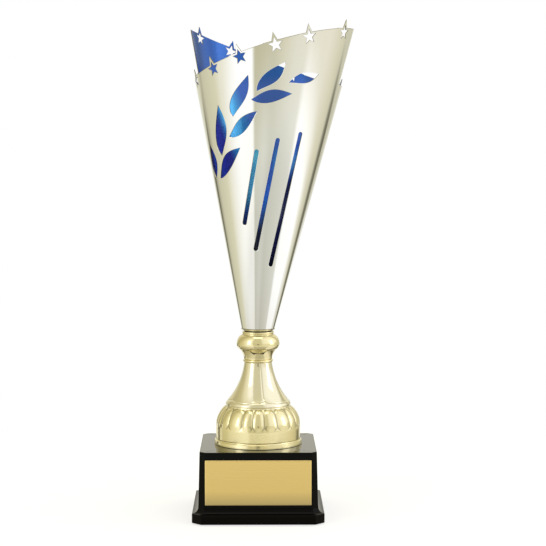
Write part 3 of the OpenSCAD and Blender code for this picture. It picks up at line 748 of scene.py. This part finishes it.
def rolled_wall(flat, faces, dark_outline, over, under, turn):
    """A wall of sheet from a cut blank: (points, faces, finishes, normals).

    The blank is rolled at two depths, its open edges are joined by the cut
    between them, and the normals are the cone's own. Along a cut they lean
    out over it, square to the cut in the sheet, as on a deburred edge.
    """
    outer, normal = roll_up(flat, over, turn)
    inner, _ = roll_up(flat, under, turn)
    count = len(flat)
    pairs = np.concatenate([faces[:, [0, 1]], faces[:, [1, 2]], faces[:, [2, 0]]])
    code = np.sort(pairs, axis=1) @ np.array([count, 1])
    _, first, uses = np.unique(code, return_index=True, return_counts=True)
    rim = pairs[first[uses == 1]]
    walls = np.stack([rim[:, 1], rim[:, 0], rim[:, 0] + count, rim[:, 1] + count], 1) + 2 * count
    every = faces.tolist() + (faces[:, ::-1] + count).tolist() + walls.tolist()
    # the painted dark outline and the walls of the cuts take the cut-edge finish
    which = np.r_[np.where(dark_outline, 2, 0), np.ones(len(faces)), np.full(len(walls), 2)]
    lean = np.zeros((count, 2))
    way = (flat[rim[:, 1]] - flat[rim[:, 0]]) @ np.array([[0, -1], [1, 0]])
    way /= np.linalg.norm(way, axis=1, keepdims=True)
    np.add.at(lean, rim[:, 0], way)
    np.add.at(lean, rim[:, 1], way)
    small = 0.1
    side = (roll_up(flat + small * lean, over, turn)[0] - outer) / small
    normals = np.concatenate([normal + EDGE_LEAN * side, -normal + EDGE_LEAN * side,
                              side + 0.01 * normal, side - 0.01 * normal])
    return np.concatenate([outer, inner, outer, inner]), every, which, normals


def rolled_half(name, stars, cuts, turn, node):
    """A half of the cone, with the lap strip along its right-hand seam.

    The strip lies inside the half and reaches a little behind the next one.
    """
    flat, faces, dark_outline = sheet_blank(stars, cuts)
    half = rolled_wall(flat, faces, dark_outline, FACE_DEPTH, SHEET_T, turn)
    az, part = np.meshgrid(np.linspace(SEAM_AZ - LAP_BEFORE, SEAM_AZ + LAP_PAST, 8),
                           np.linspace(0.0, 1.0, 24))
    foot = foot_length(az) + LAP_FOOT
    top = rim_length(SEAM_AZ - 180.0) - LAP_RIM
    strip = unroll(az, foot + (top - foot) * part).reshape(-1, 2)
    quads = lattice_faces(*az.shape, close_columns=False)
    cut = np.concatenate([quads[:, [0, 1, 2]], quads[:, [0, 2, 3]]])
    under = SHEET_T + LAP_GAP
    lap = rolled_wall(strip, cut, np.zeros(len(cut), bool), under, under + SHEET_T, turn)
    points, which, normals = (np.concatenate([half[i], lap[i]]) for i in (0, 2, 3))
    every = half[1] + [[k + len(half[0]) for k in face] for face in lap[1]]
    # the walls of the cuts shade flat
    walls = np.concatenate([np.arange(len(half[1])) >= 2 * len(faces),
                            np.arange(len(lap[1])) >= 2 * len(cut)])
    piece = make_piece(name, points, every, [silver_sheet, blue_lacquer, cut_edge_and_painted_outline], which, walls)
    piece.data.normals_split_custom_set_from_vertices(normals.tolist())
    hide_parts(node)


def colour_ramp(tree, fac, stops):
    """A ramp of colours over a 0 to 1 value, from (place, colour) stops."""
    ramp = add_step(tree, "ShaderNodeValToRGB", {"Fac": fac})
    while len(ramp.color_ramp.elements) < len(stops):
        ramp.color_ramp.elements.new(0.5)
    for mark, (place, colour) in zip(ramp.color_ramp.elements, stops):
        mark.position, mark.color = place, colour
    return ramp.outputs["Color"]


silver_sheet, tree, shader = new_finish("polished_silver_sheet", Metallic=1.0)
rolled = speckle(tree, 90, 3.0, (1.0, 1.0, 0.06))
tint(shader, rolled, (0.84, 0.84, 0.82), (0.88, 0.88, 0.86))
polish(shader, speckle(tree, 260, 4.0, (1.0, 1.0, 0.12)), 0.04, 0.09)
relief(shader, speckle(tree, 34, 1.0, (1.0, 1.0, 0.25)), 0.05)

blue_lacquer, tree, shader = new_finish(
    "blue_lacquered_sheet", Metallic=0.6, Coat_Weight=0.2, Coat_Roughness=0.05)
violet, cyan, royal = (0.07, 0.075, 0.42, 1), (0.05, 0.34, 0.66, 1), (0.04, 0.12, 0.47, 1)
painted_shade_slate, painted_streak_blue, pale = (0.02, 0.024, 0.042, 1), (0.16, 0.7, 1.0, 1), (0.17, 0.65, 0.95, 1)
# painted reflections in leaning bands of violet and cyan from left to right, plain royal low down
# and on the right
spot = add_step(tree, "ShaderNodeTexCoord").outputs["Object"]
across = add_step(tree, "ShaderNodeVectorMath", {0: spot, 1: (1.0, 0.0, 0.41)},
                  operation="DOT_PRODUCT").outputs["Value"]
blue = colour_ramp(tree, between(tree, across, 0.0, 1.0, 0.08, 0.18), (
    (0.0, violet), (0.12, violet), (0.18, cyan), (0.3, cyan), (0.4, royal), (1.0, royal)))
place = own_place(tree)
side, height = place["X"], place["Z"]
low_right = reckon(tree, "MULTIPLY", between(tree, side, 0.0, 1.0, -0.014, -0.01),
                   between(tree, height, 1.0, 0.0, 0.286, 0.292))
blue = blend(tree, low_right, blue, royal)
# a painted reflection as a bright streak down the middle of the back, and another as a pale patch
# to its right
drop = reckon(tree, "MULTIPLY", height, 0.128)
off_streak = reckon(tree, "ADD", reckon(tree, "SUBTRACT", side, drop), 0.0384)
wide = between(tree, reckon(tree, "ABSOLUTE", off_streak), 1.0, 0.0, 0.0055, 0.0105)
tall = reckon(tree, "MULTIPLY", between(tree, height, 0.0, 1.0, 0.232, 0.25),
              between(tree, height, 1.0, 0.0, 0.289, 0.303))
blue = blend(tree, reckon(tree, "MULTIPLY", wide, tall), blue, painted_streak_blue)
tall = reckon(tree, "MULTIPLY", between(tree, height, 0.0, 1.0, 0.256, 0.266),
              between(tree, height, 1.0, 0.0, 0.271, 0.284))
wide = between(tree, side, 0.0, 1.0, 0.011, 0.018)
blue = blend(tree, reckon(tree, "MULTIPLY", tall, wide), blue, pale)
# near the rim a deeper blue in upright streaks
upright = speckle(tree, 60, 2.0, (1.0, 1.0, 0.12))
deep = two_tones(tree, upright, (0.008, 0.05, 0.28), (0.012, 0.13, 0.5))
blue = blend(tree, between(tree, height, 0.0, 1.0, 0.333, 0.342), blue, deep)
# low in the cone the lacquer is painted slate, as painted shade, and all of it is painted brighter
# toward the dim foot, as painted light
tilt = reckon(tree, "MULTIPLY", reckon(tree, "MAXIMUM", side, 0.0), 1.5)
down = reckon(tree, "SUBTRACT", height, tilt)
blue = blend(tree, between(tree, down, 0.0, 1.0, 0.216, 0.236), painted_shade_slate, blue)
feed(shader, "Base Color", scaled(tree, blue, between(tree, height, 2.2, 1.0, 0.24, 0.31)))
polish(shader, speckle(tree, 200, 4.0, (1.0, 1.0, 0.2)), 0.16, 0.26)
relief(shader, speckle(tree, 30, 1.0, (1.0, 1.0, 0.3)), 0.05)

# the finish of the real cut walls, also used for the painted dark outline along the blank's edges
# and stars
cut_edge_and_painted_outline, tree, shader = new_finish("laser_cut_edge", Metallic=1.0)
tint(shader, speckle(tree, 2500, 3.0), (0.26, 0.245, 0.17), (0.42, 0.4, 0.3))
polish(shader, speckle(tree, 1800), 0.25, 0.45)
relief(shader, speckle(tree, 5000), 0.02)

cuts = [leaf_line(*leaf) for leaf in LEAVES] + [slot_line(a, b, SLOT_W) for a, b in SLOTS]
rolled_half("front_half_sheet", STARS_FRONT, cuts, 0.0, "cone_front_sheet")
rolled_half("back_half_sheet", STARS_BACK, [], 180.0, "cone_back_sheet")

# ---------------------------------------------------------------- studio
# A pale floor that runs out to a white room, with two soft boxes beside the
# camera and one above, and a camera looking a little down at the cup.
FLOOR_R, FLOOR_GLOW, SCREEN_R, SCREEN_H, ROOM_LIGHT = 0.44, 0.66, 0.25, 0.06, 1.2


def stand_in_scene(thing):
    """Puts an object into the scene and returns it."""
    bpy.context.scene.collection.objects.link(thing)
    return thing


camera = stand_in_scene(bpy.data.objects.new("camera", bpy.data.cameras.new("camera")))
camera.location = (-0.00086, -1.2274, 0.27086)
camera.rotation_euler = (math.pi / 2 - 0.0689, 0.0, -0.0101)
camera.data.lens = 105.08
camera.data.sensor_width = 36.0
camera.data.clip_start = 0.05
bpy.context.scene.camera = camera

floor_finish, tree, shader = new_finish(
    "pale_floor", Base_Color=(0.4, 0.4, 0.39, 1), Roughness=0.9, Specular_IOR_Level=0.0,
    Emission_Color=(1, 1, 1, 1))
rays = add_step(tree, "ShaderNodeLightPath").outputs
feed(shader, "Emission Strength", reckon(tree, "MULTIPLY", rays["Is Camera Ray"], FLOOR_GLOW))
# mirrors see the room through the floor, dimmed near the cup by a painted shadow of the cup
spot = add_step(tree, "ShaderNodeTexCoord").outputs["Object"]
off_cup = add_step(tree, "ShaderNodeVectorMath", {0: spot}, operation="LENGTH").outputs["Value"]
tint = two_tones(tree, between(tree, off_cup, 0.0, 1.0, 0.24, 0.43), (0.88, 0.85, 0.8), (1, 1, 1))
room_under_painted_shadow = add_step(tree, "ShaderNodeBsdfTransparent", {"Color": tint}).outputs[0]
seen = add_step(tree, "ShaderNodeMixShader",
                {0: rays["Is Glossy Ray"], 1: shader.outputs[0], 2: room_under_painted_shadow})
tree.links.new(seen.outputs[0], tree.nodes["Material Output"].inputs["Surface"])
floor = stand_in_scene(bpy.data.objects.new("floor", bpy.data.meshes.new("floor")))
around = np.radians(np.arange(0, 360, 3.0))
disc = np.stack([FLOOR_R * np.cos(around), FLOOR_R * np.sin(around), around * 0 - 0.0002], 1)
floor.data.from_pydata(disc.tolist(), [], [tuple(range(len(disc)))])
floor.data.materials.append(floor_finish)


def soft_box(name, azimuth, height, distance, width, tall, power):
    """An area lamp that faces the cup from an azimuth, with its middle at a height.

    Azimuth 0 is the camera's side, and it grows to the camera's right.
    """
    lamp = bpy.data.lights.new(name, "AREA")
    lamp.shape, lamp.size, lamp.size_y, lamp.energy = "RECTANGLE", width, tall, power
    box = stand_in_scene(bpy.data.objects.new(name, lamp))
    a = math.radians(azimuth)
    box.location = (distance * math.sin(a), -distance * math.cos(a), height)
    box.rotation_euler = (Vector((0, 0, 0.2)) - box.location).to_track_quat("-Z", "Y").to_euler()


soft_box("soft_box_left", -52, 0.75, 1.7, 0.55, 1.1, 2.4)
soft_box("soft_box_right", 80, 0.7, 1.7, 0.7, 1.1, 2.6)
soft_box("soft_box_top", 0, 2.2, 0.1, 1.2, 1.2, 6)

# a low screen behind the cup on its left, white with one black strip, drawn only in mirrors
side = np.radians(np.array([-168.0, -135.0, -134.9, -122.1, -122.0, -112.0]))
screen = stand_in_scene(bpy.data.objects.new("low_screen", bpy.data.meshes.new("low_screen")))
foot = np.stack([SCREEN_R * np.sin(side), -SCREEN_R * np.cos(side), side * 0 + 0.001], 1)
screen.data.from_pydata(np.concatenate([foot, foot + [0, 0, SCREEN_H]]).tolist(), [],
                        lattice_faces(2, len(side), close_columns=False).tolist())
for name, tone in (("white_card", (0.8, 0.78, 0.68, 1)), ("black_card", (0.1, 0.095, 0.06, 1))):
    card, tree, shader = new_finish(name, Base_Color=(0, 0, 0, 1), Specular_IOR_Level=0.0,
                                    Emission_Color=tone, Emission_Strength=ROOM_LIGHT)
    screen.data.materials.append(card)
screen.data.polygons.foreach_set("material_index", np.array([0, 0, 1, 0, 0], np.int32))
screen.visible_camera = screen.visible_diffuse = screen.visible_shadow = False

room = bpy.data.worlds.new("white_room")
bpy.context.scene.world = room
room.use_nodes = True
tree = room.node_tree
sky = tree.nodes["Background"]


def walls_by_angle(angle, most, stops):
    """A level read off (degrees, level) stops, for an angle between -most and most.

    A level is one number for a grey, or red, green and blue.
    """
    share = between(tree, angle, 0.0, 1.0, -most, most)
    return colour_ramp(tree, share, [
        ((degrees + most) / (2 * most), (*(level * 3)[:3], 1)) for degrees, *level in stops])


def rise(angle, start, end, low=0.0, high=1.0):
    """A level that changes from low to high between two elevations."""
    return walls_by_angle(angle, 90, [(-90, low), (start, low), (end, high), (90, high)])


toward = add_step(tree, "ShaderNodeTexCoord").outputs["Generated"]
way = add_step(tree, "ShaderNodeSeparateXYZ", {0: toward}).outputs
ahead = reckon(tree, "MULTIPLY", way["Y"], -1.0)
azimuth = reckon(tree, "DEGREES", reckon(tree, "ARCTAN2", way["X"], ahead))
elevation = reckon(tree, "DEGREES", reckon(tree, "ARCSINE", way["Z"]))
# the walls as (azimuth, red, green, blue), from the lowest band to the highest, two of which
# share their back corners
dim, lit = (0.15, 0.145, 0.1), (1.0, 1.0, 1.0)
left_back = [
    (-180, 0.8, 0.8, 0.74), (-165, 0.66, 0.65, 0.53), (-157, 0.58, 0.57, 0.45), (-151, *dim),
    (-144, *dim), (-138, 0.38, 0.36, 0.26), (-127, 0.55, 0.53, 0.38), (-96, 0.64, 0.61, 0.44)]
right_back = [
    (90, 0.75, 0.72, 0.6), (112, 0.66, 0.63, 0.48), (124, 0.58, 0.56, 0.42),
    (129, 0.28, 0.27, 0.2), (133, *dim), (141, *dim), (147, 0.4, 0.39, 0.31),
    (152, 0.7, 0.69, 0.63), (160, *lit), (180, 0.8, 0.8, 0.74)]
low_walls = walls_by_angle(azimuth, 180, [
    (-180, 0.75, 0.75, 0.66), (-165, 0.61, 0.6, 0.48), (-157, 0.58, 0.57, 0.45), (-151, *dim),
    (-144, *dim), (-138, 0.38, 0.36, 0.26), (-127, 0.53, 0.51, 0.38), (-112, 0.6, 0.58, 0.415),
    (-96, 0.65, 0.63, 0.48), (-84, 0.73, 0.72, 0.63), (-60, 0.92, 0.91, 0.85),
    (-50, 0.96, 0.95, 0.9), (-26, 0.96, 0.95, 0.9), (-23, 0.63, 0.63, 0.54),
    (-6, 0.7, 0.7, 0.63), (8, 0.63, 0.63, 0.55), (34, 0.71, 0.71, 0.63), (52, 0.77, 0.77, 0.7),
    (60, 1.15), (98, 1.15), (112, 0.8, 0.78, 0.7), (123, 0.6, 0.59, 0.48),
    (129, 0.28, 0.27, 0.2), (133, *dim), (141, *dim), (147, 0.4, 0.39, 0.31),
    (153, 0.6, 0.59, 0.5), (166, 0.7, 0.69, 0.6), (180, 0.75, 0.75, 0.66)])
cup_walls = walls_by_angle(azimuth, 180, left_back + [
    (-84, 0.76, 0.74, 0.6), (-62, 0.94, 0.93, 0.9), (-52, *lit), (-27, *lit),
    (-23, 0.5, 0.47, 0.32), (6, 0.52, 0.5, 0.34), (20, 0.64, 0.6, 0.43), (36, 0.72, 0.69, 0.57),
    ] + right_back)
base_walls = walls_by_angle(azimuth, 180, left_back + [
    (-84, 0.76, 0.74, 0.61), (-50, 0.88, 0.87, 0.77), (-27, 0.94, 0.94, 0.86),
    (-20, 0.86, 0.85, 0.75), (20, 0.93, 0.92, 0.83), (50, 0.96, 0.95, 0.87)] + right_back)
stem_walls = walls_by_angle(azimuth, 180, [
    (-180, 0.8, 0.8, 0.74), (-160, 0.66, 0.65, 0.53), (-138, 0.55, 0.53, 0.38),
    (-133, 0.34, 0.32, 0.22), (-124, 0.34, 0.32, 0.22), (-119, 0.56, 0.52, 0.33),
    (-92, 0.68, 0.63, 0.43), (-76, 0.8, 0.77, 0.63), (-62, 0.94, 0.93, 0.9), (-52, *lit),
    (-31, *lit), (-26, 0.56, 0.53, 0.4), (6, 0.58, 0.56, 0.42), (20, 0.64, 0.6, 0.45),
    (36, 0.72, 0.69, 0.57), (90, 0.85, 0.83, 0.75), (114, 0.62, 0.6, 0.47),
    (150, 0.52, 0.5, 0.38), (180, 0.8, 0.8, 0.74)])
high_walls = walls_by_angle(azimuth, 180, [
    (-180, 0.76, 0.73, 0.6), (-160, 0.7, 0.66, 0.5), (-137, 0.62, 0.57, 0.4),
    (-133, 0.45, 0.42, 0.28), (-126, 0.45, 0.42, 0.28), (-121, 0.5, 0.46, 0.28),
    (-100, 0.58, 0.54, 0.36), (-84, 0.78, 0.75, 0.6), (-68, 0.88, 0.86, 0.74), (-56, *lit),
    (-36, *lit), (-30, 0.64, 0.62, 0.5), (20, 0.64, 0.62, 0.5), (27, 0.88), (60, *lit),
    (118, *lit), (129, 0.5, 0.47, 0.33), (136, 0.5, 0.47, 0.33), (142, 0.8, 0.77, 0.64),
    (180, 0.76, 0.73, 0.6)])
studio = blend(tree, rise(elevation, -19, -14.5), low_walls, cup_walls)
studio = blend(tree, 1.0, studio, rise(elevation, -20.4, -18.6, 0.84, 1.0), "MULTIPLY")
studio = blend(tree, rise(elevation, -12.0, -10.5), studio, base_walls)
raised = reckon(tree, "ADD", elevation, between(tree, azimuth, 0.0, 3.8, 100, 120))
studio = blend(tree, rise(raised, -4.4, -3.4), studio, stem_walls)
studio = blend(tree, rise(elevation, 5, 12), studio, high_walls)
studio = blend(tree, rise(elevation, 55, 75), studio, (0.66, 0.63, 0.48, 1))
# the camera's own dark shape
to_camera = add_step(tree, "ShaderNodeVectorMath", {0: toward, 1: (0.0, -0.9945, 0.105)},
                     operation="DOT_PRODUCT").outputs["Value"]
spot = between(tree, to_camera, 0.0, 1.0, math.cos(math.radians(6)), math.cos(math.radians(4)))
studio = blend(tree, spot, studio, (0.12, 0.115, 0.1, 1))
rays = add_step(tree, "ShaderNodeLightPath").outputs
seen = blend(tree, rays["Is Camera Ray"], studio, (1, 1, 1, 1))
tree.links.new(seen, sky.inputs["Color"])
# the camera sees plain white at a strength of 1
dimmer = reckon(tree, "MULTIPLY", rays["Is Camera Ray"], round(ROOM_LIGHT - 1.0, 3))
tree.links.new(reckon(tree, "SUBTRACT", ROOM_LIGHT, dimmer), sky.inputs["Strength"])

bpy.context.scene.view_settings.view_transform = "Standard"
